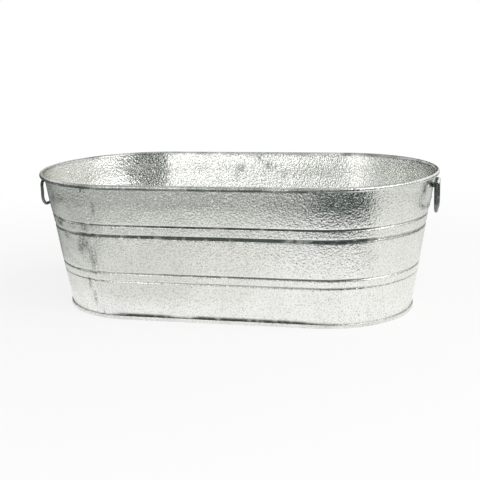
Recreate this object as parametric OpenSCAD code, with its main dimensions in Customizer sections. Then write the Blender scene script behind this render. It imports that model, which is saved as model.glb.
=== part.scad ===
// Oval washing tub of galvanised sheet steel.
// Two body sheets are hooked together in two lock seams and rolled over a rim wire.
// A raised floor is folded round the foot of the body in a double seam.
// A wire drop handle swings in a riveted ear at each end.
// Millimetres. +X runs along the tub, +Z is up, the origin is the middle of the foot.

/* [Tub] */
// Length over the rolled rim
tub_length = 640; // [520:1:800]
// Width over the rolled rim
tub_width = 344; // [280:1:440]
// Height from the foot to the top of the rim
tub_height = 218; // [180:1:300]
// How far the foot stands in from the rim, all round
flare = 38.5; // [24:0.5:56]
// Thickness of the body and floor sheet
sheet = 0.7; // [0.5:0.05:1]

/* [Rim] */
// Diameter of the wire rolled into the rim
rim_wire_d = 6; // [4:0.5:8]
// Part of a turn that the rim is rolled round its wire
rim_roll = 308; // [280:1:330]

/* [Swages] */
// Height of the middle of the upper pair of grooves
upper_pair_z = 145; // [125:1:155]
// Distance between the two upper grooves
upper_pair_gap = 17; // [12:0.5:22]
// Height of the middle of the lower pair of grooves
lower_pair_z = 70; // [45:1:85]
// Distance between the two lower grooves
lower_pair_gap = 13; // [10:0.5:18]
// Width of the broad groove, the lower one of the upper pair
broad_groove_w = 6.4; // [5:0.1:8]
// Width of the three fine grooves
fine_groove_w = 4; // [3:0.1:5]
// Depth that the grooves are pressed in
groove_depth = 1.5; // [0.8:0.1:1.8]

/* [Foot and floor] */
// Height of the folded seam round the foot
foot_seam_h = 6; // [5:0.5:10]
// Height of the underside of the floor above the ground
floor_lift = 6; // [3:0.5:12]

/* [Lock seams] */
// Width of the hooked seams up the body
lock_seam_w = 8; // [6:0.5:12]
// Place of a lock seam, as an angle round the end from the tub's long axis
lock_seam_angle = 74; // [50:1:80]
// Distance that a lock seam stops short of the foot seam and of the rim
lock_seam_stop = 1; // [0.5:0.5:4]

/* [Ears] */
// Width of the ear plate at its shoulders
ear_w = 106; // [90:1:120]
// Width of the ear plate at its lower edge
ear_foot_w = 56; // [40:1:70]
// Height of the ear plate
ear_h = 46; // [40:1:52]
// Height of the ear plate's straight sides
ear_shoulder_h = 18; // [14:1:22]
// Radius of the ear plate's corners
ear_corner_r = 7; // [3:0.5:9]
// Thickness of the ear plate
ear_sheet = 1.2; // [1:0.1:1.6]
// Distance of the ear plate below the rolled rim
ear_below_rim = 2; // [1:0.5:4]
// Length of the pressed tunnel that holds the handle
tunnel_len = 46; // [36:1:50]

/* [Handles] */
// Diameter of the handle wire
handle_wire_d = 5; // [4:0.25:6]
// Width of the handle between its leg centres
handle_w = 76; // [74:1:84]
// Drop from the hinge to the grip, centre to centre
handle_drop = 40; // [38:1:50]
// Centre-line radius of the two bends beside the hinge
handle_top_r = 8; // [6:0.5:10]
// Centre-line radius of the two bends beside the grip
handle_grip_r = 16; // [10:0.5:18]
// Depth of the hinge below the top of the rim
hinge_below_rim = 19; // [17:0.5:22]
// Distance of the hinge from the outside of the wall
hinge_standoff = 6; // [5:0.25:8]
// Gap between the two wire ends, which meet inside the tunnel
wire_end_gap = 1.5; // [0.5:0.5:4]

/* [Rivets] */
// Shank diameter
rivet_d = 4; // [3:0.25:5]
// Diameter of the outer head
rivet_head_d = 8.5; // [7:0.25:10]
// Height of the outer head
rivet_head_h = 2; // [1.5:0.25:2.5]
// Diameter of the set tail inside the tub
rivet_tail_d = 7; // [6:0.25:9]
// Height of the set tail inside the tub
rivet_tail_h = 1.4; // [1:0.1:2]
// Distance of the rivets from the edges of the ear plate
rivet_edge = 9; // [7:0.5:11]

/* [Clearances] */
// Gap between folded layers of sheet
fold_gap = 0.05; // [0.03:0.01:0.1]
// Radial clearance of the handle wire in its tunnel
swing_gap = 0.3; // [0.2:0.05:0.6]
// Radial clearance of a rivet shank in its holes
rivet_gap = 0.05; // [0.02:0.01:0.1]
// Gap under a rivet's heads, for the curve of the wall
rivet_seat_gap = 0.08; // [0.05:0.01:0.15]

/* [Hidden] */

$fn = 120;
// Spare length that carries a cut clear of the piece it cuts
cut_over = 1;
// Spare angle that carries a sweep clear of the outline that trims it
sweep_over = 2;

zinc = [0.78, 0.79, 0.77];
zinc_dull = [0.66, 0.68, 0.67];
wire_grey = [0.45, 0.46, 0.46];

// The tub's oval: two round ends joined by straight sides
end_r = tub_width / 2;
end_c = tub_length / 2 - end_r;

// Rolled rim
rim_r = rim_wire_d / 2 + fold_gap + sheet;
rim_z = tub_height - rim_r;
rim_under_z = tub_height - 2 * rim_r;

// Folded seams: each layer lies one sheet and one gap outside the last
layer = sheet + fold_gap;
seam_proud = 3 * layer;

// Wall, measured at its outer face
wall_foot_r = end_r - flare - seam_proud;
wall_top_r = end_r - 2 * rim_r + sheet;
wall_tilt = atan2(wall_top_r - wall_foot_r, rim_z - foot_seam_h);
wall_mid_r = (wall_foot_r + wall_top_r) / 2;
function wall_r(z) = wall_foot_r + (z - foot_seam_h) * tan(wall_tilt);
function seam_deg(len) = len / wall_mid_r * 180 / PI;

// Lock seams run from the foot seam to the underside of the rim
lock_z0 = foot_seam_h + lock_seam_stop;
lock_z1 = rim_under_z - lock_seam_stop;
gap_deg = seam_deg(fold_gap);
sheet_deg = seam_deg(sheet);
lock_deg = seam_deg(lock_seam_w);

// Ears, hinges and rivets
ear_top_z = rim_under_z - ear_below_rim;
ear_foot_z = ear_top_z - ear_h;
ear_outline = [
    [-ear_w / 2, ear_top_z],
    [-ear_w / 2, ear_top_z - ear_shoulder_h],
    [-ear_foot_w / 2, ear_foot_z],
    [ear_foot_w / 2, ear_foot_z],
    [ear_w / 2, ear_top_z - ear_shoulder_h],
    [ear_w / 2, ear_top_z],
];
hinge_z = tub_height - hinge_below_rim;
hinge_x = end_c + wall_r(hinge_z) + hinge_standoff;
handle_wire_r = handle_wire_d / 2;
tunnel_r = handle_wire_r + swing_gap;
rivet_spots = [
    [-ear_w / 2 + rivet_edge, ear_top_z - rivet_edge],
    [ear_w / 2 - rivet_edge, ear_top_z - rivet_edge],
    [-ear_foot_w / 2 + rivet_edge / 2, ear_foot_z + rivet_edge],
    [ear_foot_w / 2 - rivet_edge / 2, ear_foot_z + rivet_edge],
];

// Outlines

function unit(v) = v / norm(v);

// Convex outline with every corner rounded to the same radius
module rounded_outline(points, r) {
    count = len(points);
    corners = [
        for (i = [0 : count - 1])
            let (
                p = points[i],
                back = unit(points[(i + count - 1) % count] - p),
                ahead = unit(points[(i + 1) % count] - p),
                half = acos(back * ahead) / 2
            )
            [
                p + back * r / tan(half),
                p + ahead * r / tan(half),
                p + unit(back + ahead) * r / sin(half),
            ]
    ];
    polygon([for (c = corners) each [c[0], c[1]]]);
    for (c = corners) translate(c[2]) circle(r);
}

// The whole oval with end radius r, as a flat outline
module oval_outline(r) {
    for (s = [-1, 1]) translate([s * end_c, 0]) circle(r);
    square([2 * end_c, 2 * r], center = true);
}

// Sweeps of a section drawn at the radius of the round ends

module right_end(from_angle, to_angle) {
    translate([end_c, 0, 0])
        rotate_extrude(start = from_angle, angle = to_angle - from_angle)
            children();
}

module front_side() {
    translate([-end_c, 0, 0])
        rotate([90, 0, 90])
            linear_extrude(2 * end_c)
                mirror([1, 0])
                    children();
}

module round_the_oval() {
    for (a = [0, 180])
        rotate([0, 0, a]) {
            right_end(-90, 90) children();
            front_side() children();
        }
}

// Sections

// Places children on the outer face of the wall section, with x outwards
module on_wall_section(z) {
    translate([wall_r(z), z]) rotate(-wall_tilt) children();
}

function groove_r(w) = (w * w / 4 + groove_depth * groove_depth) / (2 * groove_depth);

module groove_hollow(z, w) {
    on_wall_section(z) translate([groove_r(w) - groove_depth, 0]) circle(groove_r(w));
}

// Metal behind a groove, to a depth below its floor
module groove_back(z, w, depth) {
    r = groove_r(w) + depth;
    on_wall_section(z) intersection() {
        translate([groove_r(w) - groove_depth, 0]) circle(r);
        translate([-2 * r, -r]) square([2 * r, 2 * r]);
    }
}

grooves = [
    [upper_pair_z + upper_pair_gap / 2, fine_groove_w],
    [upper_pair_z - upper_pair_gap / 2, broad_groove_w],
    [lower_pair_z + lower_pair_gap / 2, fine_groove_w],
    [lower_pair_z - lower_pair_gap / 2, fine_groove_w],
];

module rim_curl_section() {
    reach = 2 * rim_r;
    translate([end_r - rim_r, rim_z]) difference() {
        circle(rim_r);
        circle(rim_r - sheet);
        polygon([
            [0, 0],
            [-reach, 0],
            [-reach, -reach],
            reach * [cos(180 - rim_roll), sin(180 - rim_roll)],
        ]);
    }
}

module body_section() {
    hem_z = sheet + fold_gap;
    rim_curl_section();
    difference() {
        union() {
            polygon([
                [wall_foot_r - sheet, hem_z],
                [wall_foot_r, hem_z],
                [wall_foot_r, foot_seam_h],
                [wall_top_r, rim_z],
                [wall_top_r - sheet, rim_z],
                [wall_foot_r - sheet, foot_seam_h],
            ]);
            for (g = grooves) groove_back(g[0], g[1], sheet);
        }
        for (g = grooves) groove_hollow(g[0], g[1]);
    }
    // Hem that hooks into the floor's edge
    translate([wall_foot_r - sheet, hem_z])
        square([sheet + 2 * layer, sheet]);
    translate([wall_foot_r + layer + fold_gap, hem_z])
        square([sheet, foot_seam_h - layer - hem_z]);
}

module floor_edge_section() {
    tuck_z = 2 * layer;
    // Riser inside the wall, from the ground to the floor
    translate([wall_foot_r - 2 * layer, 0]) square([sheet, floor_lift + sheet]);
    // Flat under the hem, then up the outside, over it and down behind it
    translate([wall_foot_r - 2 * layer, 0]) square([2 * layer + seam_proud, sheet]);
    translate([wall_foot_r + seam_proud - sheet, 0]) square([sheet, foot_seam_h]);
    translate([wall_foot_r + fold_gap, foot_seam_h - sheet]) square([seam_proud - fold_gap, sheet]);
    translate([wall_foot_r + fold_gap, tuck_z]) square([sheet, foot_seam_h - tuck_z]);
}

// Strip of sheet that follows the wall between two distances outside its face
module strip_section(inner, outer) {
    polygon([
        [wall_r(lock_z0) + inner, lock_z0],
        [wall_r(lock_z0) + outer, lock_z0],
        [wall_r(lock_z1) + outer, lock_z1],
        [wall_r(lock_z1) + inner, lock_z1],
    ]);
}

// Fold that starts in the middle of the wall's thickness and closes the ends of the grooves
module fold_section(outer) {
    strip_section(-sheet / 2, outer);
    for (g = grooves) groove_back(g[0], g[1], sheet / 2);
}

// Body sheets

// The two walls end inside the folds of their hooks
inner_fold = lock_seam_angle - (gap_deg + sheet_deg) / 2;
outer_fold = lock_seam_angle + (gap_deg + sheet_deg) / 2;

module seam_fold(middle) {
    right_end(middle - sheet_deg / 2, middle + sheet_deg / 2) children();
}

// Edge that is folded out and back, under the other sheet's hook
module lock_seam_inner_hook() {
    seam_fold(inner_fold) fold_section(2 * layer);
    right_end(lock_seam_angle - lock_deg, inner_fold) strip_section(layer + fold_gap, 2 * layer);
}

// Edge that steps out over the other sheet and is tucked back under its fold
module lock_seam_outer_hook() {
    lip_fold = lock_seam_angle - lock_deg - gap_deg - sheet_deg / 2;
    tuck_end = inner_fold - sheet_deg / 2 - gap_deg;
    seam_fold(outer_fold) fold_section(seam_proud);
    right_end(lip_fold, outer_fold) strip_section(seam_proud - sheet, seam_proud);
    seam_fold(lip_fold) strip_section(fold_gap, seam_proud);
    right_end(lip_fold, tuck_end) strip_section(fold_gap, layer);
}

// Sheet that makes the front, the right end and a short stretch of the left end
module body_sheet() {
    difference() {
        union() {
            front_side() body_section();
            right_end(-90, inner_fold) body_section();
            mirror([1, 0, 0]) right_end(-90, -outer_fold) body_section();
            lock_seam_inner_hook();
            rotate([0, 0, 180]) lock_seam_outer_hook();
        }
        rivet_holes();
    }
}

module front_sheet() {
    color(zinc) body_sheet();
}

module back_sheet() {
    color(zinc) rotate([0, 0, 180]) body_sheet();
}

module bottom_pan() {
    color(zinc_dull) {
        round_the_oval() floor_edge_section();
        translate([0, 0, floor_lift])
            linear_extrude(sheet)
                oval_outline(wall_foot_r - 2 * layer + sheet);
    }
}

module rim_wire() {
    color(wire_grey)
        round_the_oval()
            translate([end_r - rim_r, rim_z])
                circle(rim_wire_d / 2);
}

// Ears and rivets

// Places children on the right end's wall at y, z, with their z axis straight out of it
module on_right_end(y, z) {
    translate([end_c, 0, 0])
        rotate([0, 0, asin(y / wall_r(z))])
            translate([wall_r(z), 0, z])
                rotate([0, 90 + wall_tilt, 0])
                    children();
}

module rivet_holes() {
    depth = sheet + fold_gap + ear_sheet + 2 * cut_over;
    for (spot = rivet_spots)
        on_right_end(spot[0], spot[1])
            translate([0, 0, -sheet - cut_over])
                cylinder(d = rivet_d + 2 * rivet_gap, h = depth);
}

// Section of the hinge tunnel. It runs back past the wall, which curves away by less than half its length.
module tunnel_section(r) {
    back = hinge_standoff + tunnel_len / 2;
    circle(r);
    translate([-back, -r]) square([back, 2 * r]);
}

module at_hinge() {
    translate([hinge_x, 0, hinge_z]) rotate([90, 0, 0]) children();
}

module ear_plate() {
    spread = asin(ear_w / 2 / wall_r(ear_foot_z)) + sweep_over;
    z0 = ear_foot_z - cut_over;
    z1 = ear_top_z + cut_over;
    intersection() {
        right_end(-spread, spread) polygon([
            [wall_r(z0) + fold_gap, z0],
            [wall_r(z0) + fold_gap + ear_sheet, z0],
            [wall_r(z1) + fold_gap + ear_sheet, z1],
            [wall_r(z1) + fold_gap, z1],
        ]);
        translate([end_c, 0, 0])
            rotate([90, 0, 90])
                linear_extrude(end_r)
                    rounded_outline(ear_outline, ear_corner_r);
    }
}

module wall_core() {
    translate([end_c, 0, 0]) rotate_extrude() polygon([
        [0, ear_foot_z],
        [wall_r(ear_foot_z) + fold_gap, ear_foot_z],
        [wall_r(ear_top_z) + fold_gap, ear_top_z],
        [0, ear_top_z],
    ]);
}

module ear() {
    difference() {
        union() {
            ear_plate();
            difference() {
                at_hinge() linear_extrude(tunnel_len, center = true) tunnel_section(tunnel_r + ear_sheet);
                wall_core();
            }
        }
        at_hinge() linear_extrude(tunnel_len + 2 * cut_over, center = true) tunnel_section(tunnel_r);
        rivet_holes();
    }
}

module right_ear() {
    color(zinc_dull) ear();
}

module left_ear() {
    color(zinc_dull) rotate([0, 0, 180]) ear();
}

// Cap of a sphere with a flat base at z = 0
module domed_head(d, h) {
    r = (d * d / 4 + h * h) / (2 * h);
    rotate_extrude() intersection() {
        translate([0, h - r]) circle(r);
        square([d, h]);
    }
}

module rivets() {
    head_z = fold_gap + ear_sheet + rivet_seat_gap;
    tail_z = -sheet - rivet_seat_gap;
    for (spot = rivet_spots)
        on_right_end(spot[0], spot[1]) {
            translate([0, 0, tail_z]) cylinder(d = rivet_d, h = head_z - tail_z);
            translate([0, 0, head_z]) domed_head(rivet_head_d, rivet_head_h);
            translate([0, 0, tail_z]) mirror([0, 0, 1]) domed_head(rivet_tail_d, rivet_tail_h);
        }
}

module right_rivets() {
    color(zinc_dull) rivets();
}

module left_rivets() {
    color(zinc_dull) rotate([0, 0, 180]) rivets();
}

// Handles

module wire_run(from, to) {
    span = to - from;
    translate([from[0], from[1], 0])
        rotate([0, 0, atan2(span[1], span[0])])
            rotate([0, 90, 0])
                cylinder(r = handle_wire_r, h = norm(span));
}

module wire_bend(centre, r, from_angle) {
    translate([centre[0], centre[1], 0])
        rotate([0, 0, from_angle])
            rotate_extrude(angle = 90)
                translate([r, 0])
                    circle(handle_wire_r);
}

// Loop of wire in its own plane, with the hinge along x and the grip below it
module handle_loop() {
    half = handle_w / 2;
    for (s = [0, 1])
        mirror([s, 0, 0]) {
            wire_run([wire_end_gap / 2, 0], [half - handle_top_r, 0]);
            wire_bend([half - handle_top_r, -handle_top_r], handle_top_r, 0);
            wire_run([half, -handle_top_r], [half, handle_grip_r - handle_drop]);
            wire_bend([half - handle_grip_r, handle_grip_r - handle_drop], handle_grip_r, 270);
            wire_run([half - handle_grip_r, -handle_drop], [0, -handle_drop]);
        }
}

module handle() {
    translate([hinge_x, 0, hinge_z]) rotate([90, 0, 90]) handle_loop();
}

module right_handle() {
    color(wire_grey) handle();
}

module left_handle() {
    color(wire_grey) rotate([0, 0, 180]) handle();
}

front_sheet();
back_sheet();
bottom_pan();
rim_wire();
left_ear();
right_ear();
left_rivets();
right_rivets();
left_handle();
right_handle();
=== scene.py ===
"""Oval galvanised washing tub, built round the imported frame."""

import math

import bmesh
import bpy
import numpy as np
from bpy.props import FloatProperty, FloatVectorProperty, PointerProperty
from mathutils import Matrix, Vector, noise


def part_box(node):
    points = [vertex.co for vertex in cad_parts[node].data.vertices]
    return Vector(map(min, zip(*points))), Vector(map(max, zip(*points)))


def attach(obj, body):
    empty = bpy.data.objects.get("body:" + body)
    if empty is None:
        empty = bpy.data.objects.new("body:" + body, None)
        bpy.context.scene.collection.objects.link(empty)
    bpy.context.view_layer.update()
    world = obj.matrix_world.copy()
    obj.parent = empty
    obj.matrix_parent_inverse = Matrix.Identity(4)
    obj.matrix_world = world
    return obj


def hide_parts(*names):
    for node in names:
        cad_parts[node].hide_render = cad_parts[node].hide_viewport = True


bl_info = {
    "name": "Oval washing tub",
    "version": (1, 0, 0),
    "blender": (4, 5, 0),
    "location": "View3D > Sidebar > Tub",
    "description": "Builds an oval galvanised tub with folded seams, a wired rim and drop handles",
    "category": "Add Mesh",
}

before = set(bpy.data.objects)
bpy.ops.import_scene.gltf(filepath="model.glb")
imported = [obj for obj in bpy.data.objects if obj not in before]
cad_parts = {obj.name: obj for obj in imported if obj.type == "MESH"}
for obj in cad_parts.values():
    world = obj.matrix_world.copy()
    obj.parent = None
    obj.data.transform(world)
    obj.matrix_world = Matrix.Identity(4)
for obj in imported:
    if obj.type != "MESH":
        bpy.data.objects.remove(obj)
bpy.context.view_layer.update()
MM = 0.001
QUARTER = math.pi / 2

# The tub's plan and section, read from the frame
RIM_LOW, RIM_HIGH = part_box("rim_wire")
PAN_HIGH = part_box("bottom_pan")[1]
EAR_LOW, EAR_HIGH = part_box("right_ear")
HANDLE_LOW, HANDLE_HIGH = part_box("right_handle")
RIM_WIRE_R = (RIM_HIGH.z - RIM_LOW.z) / 2
RIM_Z = (RIM_HIGH.z + RIM_LOW.z) / 2
RIM_AXIS_R = RIM_HIGH.y - RIM_WIRE_R
END_X = RIM_HIGH.x - RIM_HIGH.y
FOOT_R = PAN_HIGH.y
HANDLE_WIRE_R = (HANDLE_HIGH.x - HANDLE_LOW.x) / 2
HINGE_X = (HANDLE_HIGH.x + HANDLE_LOW.x) / 2
HINGE_Z = HANDLE_HIGH.z - HANDLE_WIRE_R

# Rows and columns of the meshes
WALL_ROWS = 64
GROOVE_ROWS = 11
RIM_ROWS = 30
FOOT_ROWS = 6
LAP_COLUMNS = 14
SIDE_COLUMNS = 61
HOOK_COLUMNS = 140
PAN_END_COLUMNS = 81
FLOOR_RINGS = 20
EAR_ROWS = 10
EAR_COLUMNS = 10
TUNNEL_COLUMNS = 19
WIRE_SIDES = 20
CARD_COLUMNS = 25


def length(name, description, default):
    """A size in metres."""
    return FloatProperty(
        name=name, description=description, default=default, unit="LENGTH", precision=5
    )


def angle(name, description, degrees):
    """An angle, given in degrees."""
    return FloatProperty(
        name=name, description=description, default=math.radians(degrees), subtype="ANGLE"
    )


def number(name, description, default, unit="NONE"):
    """A plain number, or one in a unit of its own."""
    return FloatProperty(name=name, description=description, default=default, unit=unit)


def colour(name, description, default):
    """A linear colour."""
    return FloatVectorProperty(
        name=name, description=description, default=default, subtype="COLOR", size=3
    )


class TubSheetSizes(bpy.types.PropertyGroup):
    """Sizes of the body sheets and the bottom pan"""

    sheet: length("Sheet", "Thickness of the body sheet", 0.7 * MM)
    fold_gap: length("Fold gap", "Room between folded layers", 0.05 * MM)
    upper_pair_z: length("Upper grooves", "Height of the upper pair's middle", 145 * MM)
    upper_pair_gap: length("Upper spacing", "Spacing of the upper pair", 17 * MM)
    lower_pair_z: length("Lower grooves", "Height of the lower pair's middle", 70 * MM)
    lower_pair_gap: length("Lower spacing", "Spacing of the lower pair", 13 * MM)
    broad_groove: length("Broad groove", "Width of the broad groove", 6.4 * MM)
    fine_groove: length("Fine groove", "Width of the other grooves", 4 * MM)
    groove_depth: length("Groove depth", "Depth of the grooves", 1.5 * MM)
    rim_roll: angle("Rim roll", "How far the rim is rolled round its wire", 308)
    seam_angle: angle("Seam angle", "Where the sheets meet on each end", 74)
    seam_w: length("Seam width", "Width of the folded lock seam", 8 * MM)
    seam_rise: length("Seam rise", "How far the seam's top layer stands out", 1.9 * MM)
    wave: length("Wave", "How far the sheet is out of true", 0.9 * MM)
    ripple: length("Ripple", "Size of the smaller unevenness", 0.22 * MM)
    bulge: length("Bulge", "How far the upper band swells between groove and rim", 0.7 * MM)
    floor_wave: length("Floor wave", "How far the floor is out of flat", 0.9 * MM)


class TubFittingSizes(bpy.types.PropertyGroup):
    """Sizes of the ears and the drop handles"""

    ear_sheet: length("Ear sheet", "Thickness of the ear plate", 1.2 * MM)
    ear_foot_w: length("Ear foot", "Width of the ear's lower edge", 56 * MM)
    ear_shoulder: length("Ear shoulder", "Height of the ear's straight side", 18 * MM)
    ear_corner: length("Ear corner", "Radius of the ear's corners", 7 * MM)
    tunnel_len: length("Tunnel", "Length of the pressed tunnel", 46 * MM)
    swing_gap: length("Swing gap", "Room round the wire in the tunnel", 0.3 * MM)
    wire_gap: length("Wire gap", "Gap between the wire's two ends", 1.5 * MM)
    handle_top_r: length("Top bend", "Bend radius beside the tunnel", 8 * MM)
    handle_grip_r: length("Grip bend", "Bend radius at the grip", 16 * MM)


class TubFinish(bpy.types.PropertyGroup):
    """Colours and surface of the hot-dip zinc"""

    bright: colour("Bright zinc", "Freshly crystallised zinc", (0.97, 0.97, 0.935))
    dull: colour("Dull zinc", "Zinc that has gone dull", (0.72, 0.73, 0.70))
    fleck: colour("Flecks", "Dark flecks between the crystals", (0.25, 0.28, 0.27))
    # Colour of the dust in the grooves, and of the painted shade in the grooves, at the foot, under
    # the rim, in the ears' tunnels and on the handles
    grime_and_shade: colour("Grime and shade", "Dross and dust in the grooves", (0.055, 0.070, 0.062))
    # Both wire colours are darker than weathered zinc alone: painted shade for the shadow the
    # handles hang in
    wire: colour("Wire", "Weathered zinc on the wire of the handles", (0.21, 0.22, 0.215))
    dull_wire: colour("Dull wire", "Wire that has gone dull", (0.11, 0.12, 0.115))
    # Also the colour of the patches of painted shade and reflection on the ends and the back
    stain: colour("Stain and shade", "Flux stains beside the seams", (0.27, 0.30, 0.29))
    grain: length("Grain", "Height of the fine grain", 0.10 * MM)
    rough: number("Roughness", "Roughness of bright zinc", 0.12)


class TubStage(bpy.types.PropertyGroup):
    """Camera, floor and light"""

    azimuth: angle("Azimuth", "Camera's turn to the right of the front", 14.264)
    elevation: angle("Elevation", "Camera's height above the horizon", 13.147)
    roll: angle("Roll", "Camera's roll", -1.701)
    distance: length("Distance", "Camera's distance from its aim", 1.660)
    aim_right: length("Aim right", "Camera's aim to the right of the middle", 4.59 * MM)
    aim_height: length("Aim height", "Height of the camera's aim", 99.69 * MM)
    lens: number("Lens", "Focal length on a 36 mm sensor", 77.06, "CAMERA")
    floor: colour("Floor", "Colour of the floor", (0.86, 0.86, 0.85))
    ambient: number("Ambient", "Level of the even light", 0.55)
    key: number("Key", "Power of the large soft lamp", 38.0, "POWER")
    fill: number("Fill", "Power of the low soft lamp in front", 2.5, "POWER")
    dark: colour("Dark room", "Darkest part of the room in front", (0.030, 0.052, 0.047))
    pale: colour("Pale room", "Palest part of the room", (0.98, 0.98, 0.95))


# Mesh helpers


def smooth_step(low, high, x):
    """0 at low, 1 at high and an even curve between."""
    t = min(1.0, max(0.0, (x - low) / (high - low)))
    return t * t * (3 - 2 * t)


def rounded_path(corners, radii, steps):
    """A polyline with its inner corners rounded, each by the same number of steps."""
    path = [Vector(corners[0])]
    for before, corner, after, radius in zip(corners, corners[1:], corners[2:], radii):
        corner = Vector(corner)
        a = (Vector(before) - corner).normalized()
        b = (Vector(after) - corner).normalized()
        half = a.angle(b) / 2
        centre = corner + (a + b).normalized() * radius / math.sin(half)
        start = corner + a * radius / math.tan(half) - centre
        end = corner + b * radius / math.tan(half) - centre
        turn = math.pi - 2 * half
        for k in range(steps + 1):
            t = k / steps
            swung = start * math.sin((1 - t) * turn) + end * math.sin(t * turn)
            path.append(centre + swung / math.sin(turn))
    path.append(Vector(corners[-1]))
    return path


def filled_path(path, step):
    """The same polyline with points no further apart than step."""
    filled = [path[0]]
    for start, end in zip(path, path[1:]):
        count = max(1, math.ceil((end - start).length / step))
        filled += [start.lerp(end, k / count) for k in range(1, count + 1)]
    return filled


def grid_normals(points, around):
    """Unit normals of a grid of points, from its columns across its rows."""
    if around:
        along = np.roll(points, -1, axis=1) - np.roll(points, 1, axis=1)
    else:
        along = np.gradient(points, axis=1)
    normals = np.cross(along, np.gradient(points, axis=0))
    size = np.linalg.norm(normals, axis=2, keepdims=True)
    return normals / np.maximum(size, 1e-12)


def thick_sheet(points, thickness, around=False, normals=None):
    """Vertices and faces of a closed bent sheet, from a grid of points on its middle.

    Rows follow the sheet's section and columns its length.
    around joins the last column to the first.
    """
    rows, cols = points.shape[:2]
    if normals is None:
        normals = grid_normals(points, around)
    half = normals * thickness / 2
    verts = np.concatenate([points + half, points - half]).reshape(-1, 3)

    def at(side, i, j):
        return (side * rows + i) * cols + j % cols

    faces = []
    top = rows - 1
    for j in range(cols if around else cols - 1):
        for i in range(top):
            faces.append((at(0, i, j), at(0, i, j + 1), at(0, i + 1, j + 1), at(0, i + 1, j)))
            faces.append((at(1, i, j), at(1, i + 1, j), at(1, i + 1, j + 1), at(1, i, j + 1)))
        faces.append((at(0, 0, j), at(1, 0, j), at(1, 0, j + 1), at(0, 0, j + 1)))
        faces.append((at(0, top, j), at(0, top, j + 1), at(1, top, j + 1), at(1, top, j)))
    if not around:
        end = cols - 1
        for i in range(top):
            faces.append((at(0, i, 0), at(0, i + 1, 0), at(1, i + 1, 0), at(1, i, 0)))
            faces.append((at(0, i, end), at(1, i, end), at(1, i + 1, end), at(0, i + 1, end)))
    return verts, faces


def add_piece(name, verts, faces, crease=35, **marks):
    """A mesh object with marks, such as painted shade, on its points.

    It is smooth but for edges sharper than crease degrees.
    """
    mesh = bpy.data.meshes.new(name)
    mesh.from_pydata([tuple(v) for v in verts], [], faces)
    for mark, values in marks.items():
        attribute = mesh.attributes.new(mark, "FLOAT", "POINT")
        attribute.data.foreach_set("value", np.asarray(values, np.float32).ravel())
    mesh.shade_smooth()
    mesh.set_sharp_from_angle(angle=math.radians(crease))
    piece = bpy.data.objects.new(name, mesh)
    bpy.context.scene.collection.objects.link(piece)
    return piece


def uneven(place, layers):
    """Sum of layers of noise at a place, each with its height, scale and offset."""
    return sum(
        height * noise.noise(place * scale + Vector(offset)) for height, scale, offset in layers
    )


def dress(piece, body, node, slot):
    """Ties a piece to its body, hides the node it stands for and gives it its finish."""
    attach(piece, body)
    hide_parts(node)
    piece.data.materials.append(zinc_finish(slot))


# The flared wall


def wall_r(sizes, z):
    """Radius of the wall's outer face at a height, without its grooves."""
    layer = sizes.sheet + sizes.fold_gap
    foot = FOOT_R - 3 * layer
    top = RIM_AXIS_R - RIM_WIRE_R - sizes.fold_gap
    start = PAN_HIGH.z - sizes.sheet
    return foot + (top - foot) * max(0.0, z - start) / (RIM_Z - start)


def grooves(sizes):
    """Height, width, strength of its dust and painted shade, and share of the full depth of each
    groove.
    """
    up, low = sizes.upper_pair_gap / 2, sizes.lower_pair_gap / 2
    return (
        (sizes.upper_pair_z + up, sizes.fine_groove, 0.86, 1.0),
        (sizes.upper_pair_z - up, sizes.broad_groove, 1.0, 1.0),
        (sizes.lower_pair_z + low, sizes.fine_groove, 0.6, 0.85),
        (sizes.lower_pair_z - low, sizes.fine_groove, 0.44, 0.55),
    )


# Half a groove with its rounded lips, and half its closer rows, as shares of its width
GROOVE_HALF = 0.66
GROOVE_ROWS_HALF = 0.7
# How much sooner the dust and painted shade fill a groove than its depth
GRIME_AND_SHADE_SPREAD = 2.6


def groove_share(sizes, z):
    """How deep in a groove a height is, from 0 on the plain wall to 1, and how much dust and
    painted shade it takes.
    """
    for middle, width, grime_and_shade, pressed in grooves(sizes):
        t = abs(z - middle) / (GROOVE_HALF * width)
        if t < 1:
            depth = 0.5 + 0.5 * math.cos(math.pi * t)
            return depth * pressed, min(1.0, GRIME_AND_SHADE_SPREAD * depth) * grime_and_shade
    return 0.0, 0.0


def wall_heights(sizes, low, high):
    """Heights of the wall's rows, closer together in the grooves."""
    heights = set(np.linspace(low, high, WALL_ROWS))
    for middle, width, *_ in grooves(sizes):
        reach = GROOVE_ROWS_HALF * width
        heights = {z for z in heights if abs(z - middle) > reach}
        heights |= set(np.linspace(middle - reach, middle + reach, GROOVE_ROWS))
    return sorted(heights)


# Dents in the left end, in degrees and mm: angle about the end's middle, height, half width,
# half height and depth
DENTS = (
    (-136, 150, 12, 7, 2.4),
    (-129, 131, 12, 6, 2.2),
    (-120, 141, 10, 7, -1.3),
    (-139, 192, 13, 12, 2.0),
    (-115, 121, 8, 15, 1.6),
    (-108.5, 101, 6, 20, 1.2),
    (-100, 116, 7, 20, -0.9),
    (-112, 42, 4, 24, 1.2),
    (-103, 36, 8, 20, -0.6),
    (-128, 178, 12, 12, -0.9),
    (-131, 45, 16, 18, 1.0),
)
# Creases in the left end: angle and height where each starts and stops, half width and depth, in mm
CREASES = (
    (-145, 122, -119, 85, 4.0, 1.1),
    (-130, 168, -110, 150, 4.0, -0.8),
    (-115, 62, -110.5, 20, 3.0, 0.9),
)
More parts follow.
